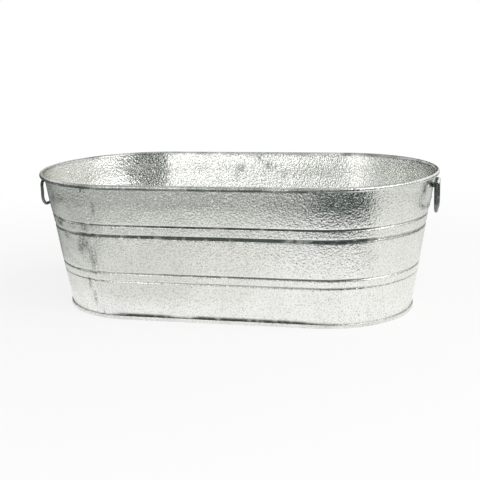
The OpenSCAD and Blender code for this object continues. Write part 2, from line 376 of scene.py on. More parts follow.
# Flux stains, and patches of painted shade and reflection, on both faces of the round ends: angle,
# height, half width, half height and strength
STAINS_AND_PAINTED_SHADE = (
    (99.8, 204, 12, 15, 1.4),
    (99.8, 176, 12, 15, 1.4),
    (119, 180, 8, 12, 1.0),
    (-110, 148, 8, 6, 1.4),
    (-114, 124, 9, 12, 1.5),
    (-117.5, 111, 6, 9, 0.9),
    (-108, 104, 7, 24, 1.3),
    (-102, 182, 4, 13, 1.1),
    (-114.4, 56, 3, 13, 1.5),
    (-111.9, 31, 3, 14, 1.5),
    (-136, 148, 13, 6, 1.7),
    (-130, 134, 13, 4.5, 1.5),
    (-138, 194, 10, 13, 1.2),
    (-145, 108, 9, 24, 0.7),
    (-133, 104, 10, 5, 0.6),
    (-120, 178, 9, 6, 0.6),
    (44.7, 187, 2.6, 7, 0.9),
    (39.7, 188, 3.2, 6, 0.9),
)
# Painted reflection on both faces of the back, dark patches where the inside reflects the dark
# room: place from left to right, then as above
PAINTED_BACK_REFLECTIONS = (
    (-30, 192, 8, 11, 1.2),
    (-38, 175, 6, 8, 0.8),
    (2, 208, 7, 8, 1.2),
    (20, 197, 9, 9, 1.1),
    (46, 182, 14, 9, 0.6),
)
# Dust and painted shade in the grooves along the sides, lighter towards the left: place from left
# to right, in mm, and share
GROOVE_GRIME_AND_SHADE = ((-148, 0.62), (-60, 0.9), (0, 1.0))
# Painted shade on the foot along the sides, in the crease above the bottom pan: place from left to
# right, in mm, and share
FOOT_SHADE_ALONG = (
    *((-175, 0.15), (-150, 1.0), (-85, 1.0), (-70, 0.5), (-45, 0.5)),
    *((-30, 1.0), (110, 1.0), (150, 0.5), (200, 0.2)),
)
# Dust and painted shade left in the grooves of the right and the left end, and inside the tub
RIGHT_END_GRIME_AND_SHADE, LEFT_END_GRIME_AND_SHADE, INSIDE_GRIME_AND_SHADE = 0.36, 0.16, 0.35
# Painted shade on the foot and under the rim; wear and painted shade all over the rim and on its
# outside; painted shade on its underside
FOOT_SHADE, UNDER_RIM_SHADE = 0.95, 0.6
RIM_SHADE_AND_WEAR, RIM_OUTSIDE_SHADE_AND_WEAR, RIM_UNDERSIDE_SHADE = 0.34, 0.10, 0.34
# Wear and painted shade of the rim round the right end, less at its front: angle and share
RIM_WEAR_AND_SHADE_ALONG = ((-90, 1.0), (-60, 0.35), (-5, 0.35), (15, 1.25))
# Heights over which the wall comes free of the foot, and is held by the rim
FREE_OF_FOOT = (8 * MM, 34 * MM)
HELD_BY_RIM = (178 * MM, 205 * MM)
# How far beside the ear, and from where to where below it, the wall is held
HELD_BESIDE_EAR = 26 * MM
HELD_BELOW_EAR = (24 * MM, 4 * MM)
# Part of a crease over which it fades in from its end
CREASE_FADE = 0.1


def end_place(sizes, turn, height):
    """A place on a round end's wall, from its angle in degrees and its height in millimetres."""
    a = math.radians(turn)
    r = wall_r(sizes, height * MM)
    centre = math.copysign(END_X, math.cos(a))
    return Vector((centre + r * math.cos(a), r * math.sin(a), height * MM))


def back_place(sizes, along, height):
    """A place on the back wall, from its distance from the middle and its height in millimetres."""
    return Vector((along * MM, wall_r(sizes, height * MM), height * MM))


def blob(place, spot, across, up):
    """1 at the middle of a mark, falling to 0 round it."""
    far = (place.xy - spot.xy).length / (across * MM)
    tall = (place.z - spot.z) / (up * MM)
    return math.exp(-far * far - tall * tall)


def blobs(sizes, marks, find_place=end_place):
    """A function that adds up dents, or stains and painted shade, at a place."""
    placed = [(find_place(sizes, where, height), *rest) for where, height, *rest in marks]

    def total(place):
        return sum(much * blob(place, spot, across, up) for spot, across, up, much in placed)

    return total


def creases(sizes):
    """A function that adds up the creases at a place."""
    placed = [
        (end_place(sizes, turn_a, height_a), end_place(sizes, turn_b, height_b), *rest)
        for turn_a, height_a, turn_b, height_b, *rest in CREASES
    ]

    def total(place):
        depth = 0.0
        for start, end, across, deep in placed:
            along = end - start
            t = min(1.0, max(0.0, (place - start).dot(along) / along.length_squared))
            far = (place - start - along * t).length / (across * MM)
            faded = math.sin(math.pi * (CREASE_FADE + (1 - 2 * CREASE_FADE) * t))
            depth += deep * math.exp(-far * far) * faded
        return depth

    return total


def band_bulge(sizes, z):
    """How far the band between the upper groove and the rim swells out at a height."""
    low, high = grooves(sizes)[0][0], RIM_Z - RIM_WIRE_R
    if low < z < high:
        return sizes.bulge * math.sin(math.pi * (z - low) / (high - low))
    return 0.0


def wall_push(sizes):
    """A function of a column's centre, its angle and a height: how far the wall is out of true."""
    dent, crease = blobs(sizes, DENTS), creases(sizes)
    far, near = HELD_BELOW_EAR
    waves = (
        (sizes.wave, 8.5, (3.1, 0.4, 7.7)),
        (0.5 * sizes.wave, 19, (1.7, 5.2, 0.3)),
        (sizes.ripple, 48, (9.2, 2.6, 4.1)),
    )

    def push(centre, a, z):
        r = wall_r(sizes, z)
        x, y = centre + r * math.cos(a), r * math.sin(a)
        beside_ear = smooth_step(EAR_HIGH.y, EAR_HIGH.y + HELD_BESIDE_EAR, abs(y))
        at_ear = smooth_step(EAR_LOW.z - far, EAR_LOW.z - near, z) * (1 - beside_ear)
        freedom = smooth_step(*FREE_OF_FOOT, z) * (1 - smooth_step(*HELD_BY_RIM, z)) * (1 - at_ear)
        if freedom == 0:
            return 0.0
        place = Vector((x, y, z))
        out = band_bulge(sizes, z) + uneven(place, waves)
        if x < -END_X:
            out -= (dent(place) + crease(place)) * MM
        return out * freedom

    return push


def sheet_stations(sizes):
    """Centre and angle of each column of a body sheet, from its lap to its hook."""
    seam = sizes.seam_angle
    lap = [(-END_X, a) for a in np.linspace(seam - math.pi, -QUARTER, LAP_COLUMNS)]
    side = [(x, -QUARTER) for x in np.linspace(-END_X, END_X, SIDE_COLUMNS)[1:]]
    hook = [(END_X, a) for a in np.linspace(-QUARTER, seam, HOOK_COLUMNS)[1:]]
    return lap + side + hook


def sheet_section(sizes):
    """Radius, height, and dust with painted shade, along the middle of the body sheet, from foot to
    rolled rim.
    """
    half = sizes.sheet / 2
    fold_z = PAN_HIGH.z - sizes.sheet
    low, high = fold_z + 1 * MM, RIM_Z - 3 * MM
    section = [(wall_r(sizes, 0) - half, z, 1.0) for z in (1.1 * MM, 3 * MM, fold_z)]
    for z in wall_heights(sizes, low, high):
        dip, grime_and_shade = groove_share(sizes, z)
        # Painted shade in the crease at the foot and under the rim, with the grooves' dust and
        # painted shade
        foot = FOOT_SHADE - FOOT_SHADE * smooth_step(low, low + 6 * MM, z)
        shade_under_rim = UNDER_RIM_SHADE * smooth_step(high - 4 * MM, high, z)
        r = wall_r(sizes, z) - half - dip * sizes.groove_depth
        section.append((r, z, max(grime_and_shade, foot, shade_under_rim)))
    roll_r = RIM_WIRE_R + sizes.fold_gap + half
    for turn in np.linspace(0, sizes.rim_roll, RIM_ROWS):
        a = math.pi - turn
        # Wear and painted shade on the rolled rim, with more painted shade on its underside
        outside = smooth_step(-0.4, 0.4, math.cos(a)) * smooth_step(0.9, 0.0, math.sin(a))
        below = smooth_step(0.1, -0.8, math.sin(a))
        worn_and_shaded = RIM_SHADE_AND_WEAR + RIM_OUTSIDE_SHADE_AND_WEAR * outside + RIM_UNDERSIDE_SHADE * below
        section.append((RIM_AXIS_R + roll_r * math.cos(a), RIM_Z + roll_r * math.sin(a), worn_and_shaded))
    return section


def rim_wear_and_shade(x, y):
    """How much wear and painted shade the rim takes at a place along it: patchy, and less at the
    front of the right end.
    """
    turn = math.degrees(math.atan2(y, x - END_X))
    dull = np.interp(turn, *zip(*RIM_WEAR_AND_SHADE_ALONG)) if x > END_X else 1.0
    return dull * (1 + 0.5 * noise.noise(Vector((x, y, 0)) * 35))


def straightness(a):
    """1 on the straight sides, falling to 0 round the ends."""
    return 1 - smooth_step(0.06, 0.26, 1 - abs(math.sin(a)))


def sheet_grid(sizes, turned):
    """Grid of points on the middle of a body sheet, and its dust and painted shade."""
    section = sheet_section(sizes)
    stations = sheet_stations(sizes)
    if turned:
        stations = [(-centre, a + math.pi) for centre, a in stations]
    push = wall_push(sizes)
    points = np.zeros((len(section), len(stations), 3))
    for j, (centre, a) in enumerate(stations):
        for i, (r, z, _) in enumerate(section):
            if i < len(section) - RIM_ROWS:
                r += push(centre, a, z)
            points[i, j] = (centre + r * math.cos(a), r * math.sin(a), z)
    straight = np.array([straightness(a) for _, a in stations])
    ends = np.array([RIGHT_END_GRIME_AND_SHADE if centre > 0 else LEFT_END_GRIME_AND_SHADE for centre, _ in stations])
    along = points[0, :, 0] / MM
    dirt_and_shade = np.repeat([[grime_and_shade] for _, _, grime_and_shade in section], len(stations), axis=1)
    # Painted shade along the foot, then the grooves' dust and painted shade, strongest on the
    # straight sides and lighter round the ends
    dirt_and_shade[:FOOT_ROWS] *= np.interp(along, *zip(*FOOT_SHADE_ALONG))
    dirt_and_shade[FOOT_ROWS:-RIM_ROWS] *= ends + (1 - ends) * straight
    dirt_and_shade[FOOT_ROWS:-RIM_ROWS] *= np.interp(along, *zip(*GROOVE_GRIME_AND_SHADE))
    # Wear and painted shade along the rim
    dirt_and_shade[-RIM_ROWS:] *= [rim_wear_and_shade(x, y) for x, y, _ in points[-1]]
    return points, dirt_and_shade


# Share of a groove's depth that shows in the lap, and how far the lap's top end is hammered down
LAP_DIP = 0.8
LAP_TUCK = 0.75


def lap_grid(sizes, turned):
    """Grid of points on the middle of the seam's top layer, from its root to its lip."""
    rise, width = sizes.seam_rise, sizes.seam_w
    corners = [(-2.2 * MM, 0), (-0.2 * MM, 0), (0.5 * MM, rise), (width, rise)]
    corners.append((width + 0.3 * MM, sizes.sheet))
    plan = filled_path(rounded_path(corners, [0.5 * MM, 0.7 * MM, 0.75 * MM], 5), 1.1 * MM)
    low = PAN_HIGH.z + 0.8 * MM
    high = RIM_Z - RIM_WIRE_R - 2 * sizes.sheet - 0.4 * MM
    heights = wall_heights(sizes, low, high)
    points = np.zeros((len(heights), len(plan), 3))
    dirt_and_shade = np.zeros((len(heights), len(plan)))
    turn = math.pi if turned else 0.0
    centre = END_X if turned else -END_X
    push = wall_push(sizes)
    for i, z in enumerate(heights):
        base = wall_r(sizes, z)
        dip, grime_and_shade = groove_share(sizes, z)
        tuck = 1 - LAP_TUCK * smooth_step(high - 5 * MM, high, z)
        for j, spot in enumerate(plan):
            a = sizes.seam_angle - math.pi + turn - spot.x / base
            r = base - sizes.sheet / 2 + push(centre, a, z)
            r += spot.y * tuck - LAP_DIP * dip * sizes.groove_depth
            points[i, -1 - j] = (centre + r * math.cos(a), r * math.sin(a), z)
            # Painted shade along the lap's lip, where its edge casts a shadow, and a share of the
            # grooves' dust and painted shade
            lip_shade = max(0.0, 1 - (len(plan) - 1 - j) / 4)
            dirt_and_shade[i, -1 - j] = max(0.5 * lip_shade, 0.6 * grime_and_shade)
    return points, dirt_and_shade


def body_sheet(name, sizes, turned):
    """One body sheet with its grooves, rolled rim and the lap of its lock seam."""
    points, dirt_and_shade = sheet_grid(sizes, turned)
    verts, faces = thick_sheet(points, sizes.sheet)
    lap, lap_dirt_and_shade = lap_grid(sizes, turned)
    lap_verts, lap_faces = thick_sheet(lap, sizes.sheet)
    faces += [tuple(v + len(verts) for v in face) for face in lap_faces]
    # The inside takes a share of the dust and painted shade; the rim keeps all of its wear and
    # painted shade
    inside = INSIDE_GRIME_AND_SHADE * dirt_and_shade
    inside[-RIM_ROWS:] = dirt_and_shade[-RIM_ROWS:]
    crevice = np.concatenate([dirt_and_shade.ravel(), inside.ravel(), lap_dirt_and_shade.ravel(), lap_dirt_and_shade.ravel()])
    every = np.concatenate([verts, lap_verts])
    # Flux stains and painted shade on the ends, painted reflection on the back
    on_end = blobs(sizes, STAINS_AND_PAINTED_SHADE)
    on_back = blobs(sizes, PAINTED_BACK_REFLECTIONS, back_place)
    stain = [on_end(Vector(v)) if abs(v[0]) > END_X else on_back(Vector(v)) for v in every]
    return add_piece(name, every, faces, crevice=crevice, stain=stain)


# The bottom pan


def pan_section(sizes):
    """Middle of the pan's folded edge, from the tuck outside the wall round to the floor."""
    half = sizes.sheet / 2
    layer = sizes.sheet + sizes.fold_gap
    outer = FOOT_R - half
    tuck = outer - 2 * layer
    riser = FOOT_R - 5 * layer + sizes.sheet - half
    top = PAN_HIGH.z - sizes.sheet - half
    floor_z = PAN_HIGH.z - half
    corners = [
        (tuck, 1.9 * MM),
        (tuck, top),
        (outer, top),
        (outer, half),
        (riser, half),
        (riser, floor_z),
        (riser - 6 * MM, floor_z),
    ]
    radii = [0.72 * MM, 0.72 * MM, 0.8 * MM, 0.6 * MM, 1.4 * MM]
    return filled_path(rounded_path(corners, radii, 6), 2 * MM)


def pan_stations():
    """Centre and angle of each column of the pan, once round the oval."""
    half = [(x, -QUARTER) for x in np.linspace(-END_X, END_X, SIDE_COLUMNS)[1:]]
    half += [(END_X, a) for a in np.linspace(-QUARTER, QUARTER, PAN_END_COLUMNS)[1:]]
    return half + [(-centre, a + math.pi) for centre, a in half]


# How far from its edge the floor comes free to sag, and where the darker band beside the wall
# starts and ends
FLOOR_FREE = 45 * MM
DARKENING_START, DARKENING_END = 5 * MM, 9 * MM
# How much darker the folded edge is
EDGE_DARKENING = 0.25


def bottom_pan(name, sizes):
    """The raised floor and the edge folded round the foot of the body."""
    edge = pan_section(sizes)
    floor_r = edge[-1].x
    rings = np.linspace(floor_r, 0, FLOOR_RINGS)[1:]
    section = [(p.x, p.y) for p in edge] + [(r, edge[-1].y) for r in rings]
    stations = pan_stations()
    points = np.zeros((len(section), len(stations), 3))
    dirt_and_shade = np.full((len(section), len(stations)), EDGE_DARKENING)
    waves = ((sizes.floor_wave, 9, (2.2, 8.1, 0)), (0.4 * sizes.floor_wave, 24, (6.4, 1.3, 0)))
    for j, (centre, a) in enumerate(stations):
        for i, (r, z) in enumerate(section):
            x, y = centre + r * math.cos(a), r * math.sin(a)
            freedom = smooth_step(0, FLOOR_FREE, floor_r - r) if i >= len(edge) else 0.0
            points[i, j] = (x, y, z + freedom * uneven(Vector((x, y, 0)), waves))
            # Darker beside the wall
            if i >= len(edge) - 3:
                dirt_and_shade[i, j] = 1 - smooth_step(0, DARKENING_END, floor_r + DARKENING_START - r)
    normals = grid_normals(points, True)
    normals[len(edge) :] = (0, 0, 1)
    verts, faces = thick_sheet(points, sizes.sheet, True, normals)
    # The last row is the floor's middle line, where its two halves meet without an edge
    faces = [f for f in faces if not closes_last_row(f, len(section), len(stations))]
    piece = add_piece(name, verts, faces, crevice=np.concatenate([dirt_and_shade.ravel(), dirt_and_shade.ravel()]))
    mesh = bmesh.new()
    mesh.from_mesh(piece.data)
    bmesh.ops.remove_doubles(mesh, verts=mesh.verts, dist=0.01 * MM)
    bmesh.ops.dissolve_degenerate(mesh, dist=0.01 * MM, edges=mesh.edges)
    mesh.to_mesh(piece.data)
    mesh.free()
    return piece


def closes_last_row(face, rows, cols):
    """True for a face that closes the sheet along its last row."""
    low, high = (rows - 1) * cols, rows * cols
    outer = sum(low <= v < high for v in face)
    inner = sum(low + rows * cols <= v < high + rows * cols for v in face)
    return outer == 2 and inner == 2


# Ears and handles


def ear_half_widths(fittings, heights):
    """Half width of the ear at each height, with its rounded corners."""
    half_top, half_foot = EAR_HIGH.y, fittings.ear_foot_w / 2
    corners = [
        (0, EAR_LOW.z),
        (half_foot, EAR_LOW.z),
        (half_top, EAR_HIGH.z - fittings.ear_shoulder),
        (half_top, EAR_HIGH.z),
        (0, EAR_HIGH.z),
    ]
    outline = rounded_path(corners, [fittings.ear_corner] * 3, 10)[1:-1]
    return np.interp(heights, [p.y for p in outline], [p.x for p in outline])


def ear_plate(name, sizes, fittings, side):
    """The stamped ear: a plate on the round end, pressed out into a tunnel for the wire."""
    half = fittings.ear_sheet / 2
    leg = HANDLE_WIRE_R + fittings.swing_gap + half
    root = 2.2 * MM
    bottom, top = HINGE_Z - leg, HINGE_Z + leg
    low, high = bottom - 1.5 * root, top + 1.5 * root

    def plate_x(y, z):
        r = wall_r(sizes, z) + sizes.fold_gap + half
        return END_X + math.sqrt(r * r - y * y)

    def tunnel(y):
        reach = HINGE_X + leg
        corners = [(plate_x(y, low), low), (plate_x(y, bottom), bottom), (reach, bottom)]
        corners += [(reach, top), (plate_x(y, top), top), (plate_x(y, high), high)]
        return rounded_path(corners, [0.6 * root, 0.97 * leg, 0.97 * leg, 0.6 * root], 7)

    steps = len(tunnel(0))
    corner = 3 * MM
    foot = EAR_LOW.z + corner * np.array([0, 0.15, 0.4, 0.7])
    below = np.concatenate([foot, np.linspace(EAR_LOW.z + corner, low, EAR_ROWS)[:-1]])
    above = high + (EAR_HIGH.z - high) * np.array([0.25, 0.5, 0.7, 0.85, 0.95, 1])
    heights = np.concatenate([below, np.linspace(low, high, steps), above])
    widths = ear_half_widths(fittings, heights)
    mouth = fittings.tunnel_len / 2
    mesh = bmesh.new()

    def block(columns, pressed):
        grid = []
        for i, z in enumerate(heights):
            row = []
            k = i - len(below)
            for t in columns:
                y = t * mouth if pressed else math.copysign(mouth + (widths[i] - mouth) * abs(t), t)
                spot = (plate_x(y, z), z)
                if pressed and 0 <= k < steps:
                    spot = tunnel(y)[k]
                row.append(mesh.verts.new((spot[0] * side, y * side, spot[1])))
            grid.append(row)
        for low_row, high_row in zip(grid, grid[1:]):
            for a, b, c, d in zip(low_row, low_row[1:], high_row[1:], high_row):
                mesh.faces.new((a, b, c, d))

    inner = 1e-6
    block(np.linspace(-1, -inner, EAR_COLUMNS), False)
    block(np.linspace(-1, 1, TUNNEL_COLUMNS), True)
    block(np.linspace(inner, 1, EAR_COLUMNS), False)
    bmesh.ops.remove_doubles(mesh, verts=mesh.verts, dist=0.02 * MM)
    verts = [v.co.copy() for v in mesh.verts]
    mesh.verts.index_update()
    faces = [tuple(v.index for v in f.verts) for f in mesh.faces]
    mesh.free()

    # Painted shade on the ear in the tunnel's mouth and on the plate under the rim; along its
    # outline a fillet of zinc, darkened with painted shade
    def shade_and_dust_at(spot):
        half_width = ear_half_widths(fittings, [spot.z])[0]
        inset = min(half_width - abs(spot.y), spot.z - EAR_LOW.z, EAR_HIGH.z - spot.z)
        edge = 0.36 * (1 - smooth_step(0, 2.5 * MM, inset))
        pressed = smooth_step(0.5 * MM, 2 * MM, abs(spot.x) - plate_x(spot.y, spot.z))
        aside = abs(spot.y)
        mouth_shade = smooth_step(mouth - 3 * MM, mouth, aside) * (aside < mouth + 0.1 * MM)
        shade_under_rim = smooth_step(HINGE_Z, EAR_HIGH.z, spot.z) * (1 - pressed)
        return max(edge, 0.9 * pressed * mouth_shade, 0.6 * shade_under_rim)

    piece = add_piece(name, verts, faces, crevice=[shade_and_dust_at(v) for v in verts])
    shell = piece.modifiers.new("Plate thickness", "SOLIDIFY")
    shell.thickness = fittings.ear_sheet
    shell.offset = 0
    edge = piece.modifiers.new("Stamped edge", "BEVEL")
    edge.width = 0.3 * MM
    edge.segments = 2
    edge.limit_method = "ANGLE"
    edge.angle_limit = math.radians(50)
    return piece


def wire_tube(path, radius, sides):
    """Vertices and faces of a closed round wire along a path in a plane of constant x."""
    verts, faces = [], []
    across = Vector((1, 0, 0))
    for k, point in enumerate(path):
        ahead = path[min(k + 1, len(path) - 1)] - path[max(k - 1, 0)]
        up = ahead.normalized().cross(across)
        for n in range(sides):
            a = 2 * math.pi * n / sides
            verts.append(point + (across * math.cos(a) + up * math.sin(a)) * radius)
    for k in range(len(path) - 1):
        for n in range(sides):
            m = (n + 1) % sides
            faces.append((k * sides + n, (k + 1) * sides + n, (k + 1) * sides + m, k * sides + m))
    faces.append(tuple(range(sides)))
    faces.append(tuple(reversed(range((len(path) - 1) * sides, len(path) * sides))))
    return verts, faces


# How far the handles' wire is out of true, and the seed that makes it the same in each run
BENT_BY_HAND = 0.35 * MM
BEND_SEED = 4


def drop_handle(name, fittings, side):
    """The drop handle: one wire bent by hand, its ends butted inside the tunnel."""
    leg = HANDLE_HIGH.y - HANDLE_WIRE_R
    grip = HANDLE_LOW.z + HANDLE_WIRE_R
    gap = fittings.wire_gap / 2
    corners = [(gap, HINGE_Z), (leg, HINGE_Z), (leg, grip)]
    corners += [(-y, z) for y, z in reversed(corners)]
    top, foot = fittings.handle_top_r, fittings.handle_grip_r
    path = filled_path(rounded_path(corners, [top, foot, foot, top], 10), 2.5 * MM)
    bent = []
    noise.seed_set(BEND_SEED)
    for spot in path:
        loose = smooth_step(5 * MM, 14 * MM, HINGE_Z - spot.y)
        sway = Vector((0, spot.x, spot.y)) * 45 + Vector((side * 4.0, 1.5, 2.5))
        shift = noise.noise_vector(sway) * BENT_BY_HAND * loose
        bent.append(Vector((HINGE_X * side, spot.x, spot.y)) + shift)
    verts, faces = wire_tube(bent, HANDLE_WIRE_R, WIRE_SIDES)
    # Painted shade on the wire where it runs into the tunnel
    grime_and_shade = [1 - smooth_step(2 * MM, 13 * MM, HINGE_Z - v.z) for v in verts]
    return add_piece(name, verts, faces, crease=50, crevice=grime_and_shade)


# Zinc finish

WHITE = (1, 1, 1, 1)
GREY = (0.3, 0.3, 0.3, 1)


def add_node(tree, kind, values=None, **settings):
    """A node with its settings and the values of its named inputs."""
    node = tree.nodes.new(kind)
    for key, value in settings.items():
        setattr(node, key, value)
    for key, value in (values or {}).items():
        node.inputs[key].default_value = value
    return node


def feed(tree, node, inputs):
    """Links a node's numbered inputs to sockets, or sets them to values."""
    for key, value in inputs:
        if isinstance(value, bpy.types.NodeSocket):
            tree.links.new(value, node.inputs[key])
        else:
            node.inputs[key].default_value = value


def math_node(tree, operation, *values):
    """The output of a Math node whose inputs are sockets or numbers."""
    node = add_node(tree, "ShaderNodeMath", operation=operation)
    feed(tree, node, enumerate(values))
    return node.outputs[0]


def mix_colours(tree, factor, a, b):
    """The output of a Mix node on two colours; each of its inputs is a socket or a value."""
    node = add_node(tree, "ShaderNodeMix", data_type="RGBA")
    feed(tree, node, ((0, factor), (6, a), (7, b)))
    return node.outputs[2]


def ranged(tree, value, low, high, to_low=0.0, to_high=1.0):
    """The output of a clamped, smooth Map Range node."""
    node = add_node(tree, "ShaderNodeMapRange", interpolation_type="SMOOTHSTEP")
    feed(tree, node, enumerate((value, low, high, to_low, to_high)))
    return node.outputs[0]


def new_group(name, inputs, outputs):
    """A new shader node group, and the sockets inside it.

    Each of its inputs and outputs is given with its default, a colour or a number.
    """
    tree = bpy.data.node_groups.new(name, "ShaderNodeTree")
    for in_out, sockets in (("INPUT", inputs), ("OUTPUT", outputs)):
        for socket, default in sockets.items():
            kind = "NodeSocketFloat" if isinstance(default, float) else "NodeSocketColor"
            made = tree.interface.new_socket(socket, in_out=in_out, socket_type=kind)
            made.default_value = default
    return tree, tree.nodes.new("NodeGroupInput").outputs, tree.nodes.new("NodeGroupOutput").inputs


def group_node(tree, name, build, values):
    """A node group, built once and then shared, placed in a tree with its own values."""
    group = bpy.data.node_groups.get(name) or build(name)
    return add_node(tree, "ShaderNodeGroup", values, node_tree=group)


def emptied(owner):
    """The node tree of a new material or world, without its first nodes."""
    owner.use_nodes = True
    owner.node_tree.nodes.clear()
    return owner.node_tree


# Cells per metre of each noise in the zinc
GRAIN_CELLS, RIPPLE_CELLS, RUN_CELLS = 900, 330, 60
BEND_CELLS, CRYSTAL_CELLS, CLOUD_CELLS = 120, 105, 16
SPECKLE_CELLS, PIT_CELLS = 480, 210
GRIME_AND_SHADE_CELLS, STAIN_AND_SHADE_CELLS = 75, 380
# How far the crystals' edges are bent, and how dark the pits are
CRYSTAL_BEND = 0.006
PIT_STRENGTH, PIT_COLOUR = 0.6, (0.16, 0.17, 0.15, 1)


def place_noise(tree, cells, detail, distortion=0.0, tall=1.0):
    """Noise in the piece's own coordinates, drawn out upwards where tall is below 1."""
    where = add_node(tree, "ShaderNodeTexCoord")
    mapping = add_node(tree, "ShaderNodeMapping", {"Scale": (1, 1, tall)})
    values = {"Scale": cells, "Detail": detail, "Distortion": distortion}
    texture = add_node(tree, "ShaderNodeTexNoise", values)
    tree.links.new(where.outputs["Object"], mapping.inputs["Vector"])
    tree.links.new(mapping.outputs["Vector"], texture.inputs["Vector"])
    return texture.outputs[0]


def zinc_relief(name):
    """Height of the frozen zinc: fine grain, curved ripples and runs from the dipping."""
    inputs = {"Grain": 0.00005, "Ripple": 0.0002, "Run": 0.0003}
    tree, inner, outer = new_group(name, inputs, {"Height": 0.0})
    grain = place_noise(tree, GRAIN_CELLS, 1)
    ripple = place_noise(tree, RIPPLE_CELLS, 1.5, 0.5)
    run = place_noise(tree, RUN_CELLS, 1, tall=0.22)
    height = math_node(tree, "MULTIPLY", grain, inner["Grain"])
    height = math_node(tree, "MULTIPLY_ADD", ripple, inner["Ripple"], height)
    height = math_node(tree, "MULTIPLY_ADD", run, inner["Run"], height)
    tree.links.new(height, outer["Height"])
    return tree


def zinc_colour(name):
    """Colour and dullness of zinc: crystals of different brightness, dull clouds and small pits."""
    inputs = {"Bright": WHITE, "Dull": GREY, "Fleck": GREY}
    inputs.update({"Spangle": 0.3, "Dullness": 0.3, "Speckle": 0.4})
    tree, inner, outer = new_group(name, inputs, {"Color": WHITE, "Dulled": 0.0})
    where = add_node(tree, "ShaderNodeTexCoord")
    bend = add_node(tree, "ShaderNodeTexNoise", {"Scale": BEND_CELLS, "Detail": 2})
    shifted = add_node(tree, "ShaderNodeVectorMath", operation="MULTIPLY_ADD")
    crystals = add_node(tree, "ShaderNodeTexVoronoi", {"Scale": CRYSTAL_CELLS})
    tree.links.new(where.outputs["Object"], bend.inputs["Vector"])
    shift = (bend.outputs["Color"], (CRYSTAL_BEND,) * 3, where.outputs["Object"])
    feed(tree, shifted, enumerate(shift))
    tree.links.new(shifted.outputs[0], crystals.inputs["Vector"])
    facet = add_node(tree, "ShaderNodeSeparateColor")
    tree.links.new(crystals.outputs["Color"], facet.inputs[0])
    clouds = ranged(tree, place_noise(tree, CLOUD_CELLS, 4, 0.6, 0.6), 0.38, 0.7)
    dulled = math_node(tree, "MULTIPLY", clouds, inner["Dullness"])
    dulled = math_node(tree, "MULTIPLY_ADD", facet.outputs[0], inner["Spangle"], dulled)
    body = mix_colours(tree, dulled, inner["Bright"], inner["Dull"])
    speckle = ranged(tree, place_noise(tree, SPECKLE_CELLS, 2), 0.36, 0.50, 1.0, 0.0)
    flecked = math_node(tree, "MULTIPLY", speckle, inner["Speckle"])
    body = mix_colours(tree, flecked, body, inner["Fleck"])
    pits = ranged(tree, place_noise(tree, PIT_CELLS, 1), 0.765, 0.80)
    pits = math_node(tree, "MULTIPLY", pits, PIT_STRENGTH)
    tree.links.new(mix_colours(tree, pits, body, PIT_COLOUR), outer["Color"])
    tree.links.new(dulled, outer["Dulled"])
    return tree


def crevice_grime(name):
    """Stains and patches of painted shade and reflection, and broken lines of painted shade with
    dust, where the mesh marks them.
    """
    inputs = {"Color": WHITE, "Grime and shade": GREY, "Stain and shade": GREY, "Amount": 0.8}
    tree, inner, outer = new_group(name, inputs, {"Color": WHITE, "Mask": 0.0})
    mark = add_node(tree, "ShaderNodeAttribute", attribute_name="crevice")
    broken = ranged(tree, place_noise(tree, GRIME_AND_SHADE_CELLS, 3), 0.28, 0.50, 0.62, 1.0)
    deep = ranged(tree, mark.outputs["Fac"], 0.10, 0.75)
    mask = math_node(tree, "MULTIPLY", deep, broken)
    mask = math_node(tree, "MULTIPLY", mask, inner["Amount"])
    spots = add_node(tree, "ShaderNodeAttribute", attribute_name="stain")
    ragged = ranged(tree, place_noise(tree, STAIN_AND_SHADE_CELLS, 2, tall=0.7), 0.34, 0.62, 0.08, 0.85)
    stained = math_node(tree, "MULTIPLY", ranged(tree, spots.outputs["Fac"], 0.05, 1.0), ragged)
    under = mix_colours(tree, stained, inner["Color"], inner["Stain and shade"])
    tree.links.new(mix_colours(tree, mask, under, inner["Grime and shade"]), outer["Color"])
    tree.links.new(mask, outer["Mask"])
    return tree


# Spangle, dullness, ripple, run, strength of the dust and painted shade, and added roughness of
# each finish
FINISHES = {
    "galvanised_sheet": (0.10, 0.18, 0.00075, 0.0002, 0.95, 0.0),
    "galvanised_floor": (0.14, 0.30, 0.00055, 0.0002, 0.6, 0.05),
    "galvanised_ear": (0.12, 0.45, 0.00035, 0.0001, 0.6, 0.04),
    "zinc_rivet": (0.10, 0.50, 0.00020, 0.0, 0.5, 0.04),
    "galvanised_wire": (0.10, 0.45, 0.00020, 0.0001, 0.95, 0.06),
}
# Strength of the dark flecks, and the roughness that dull zinc and the dust and painted shade add
SPECKLE = 0.36
DULL_ROUGHNESS, GRIME_AND_SHADE_ROUGHNESS = 0.35, 0.25


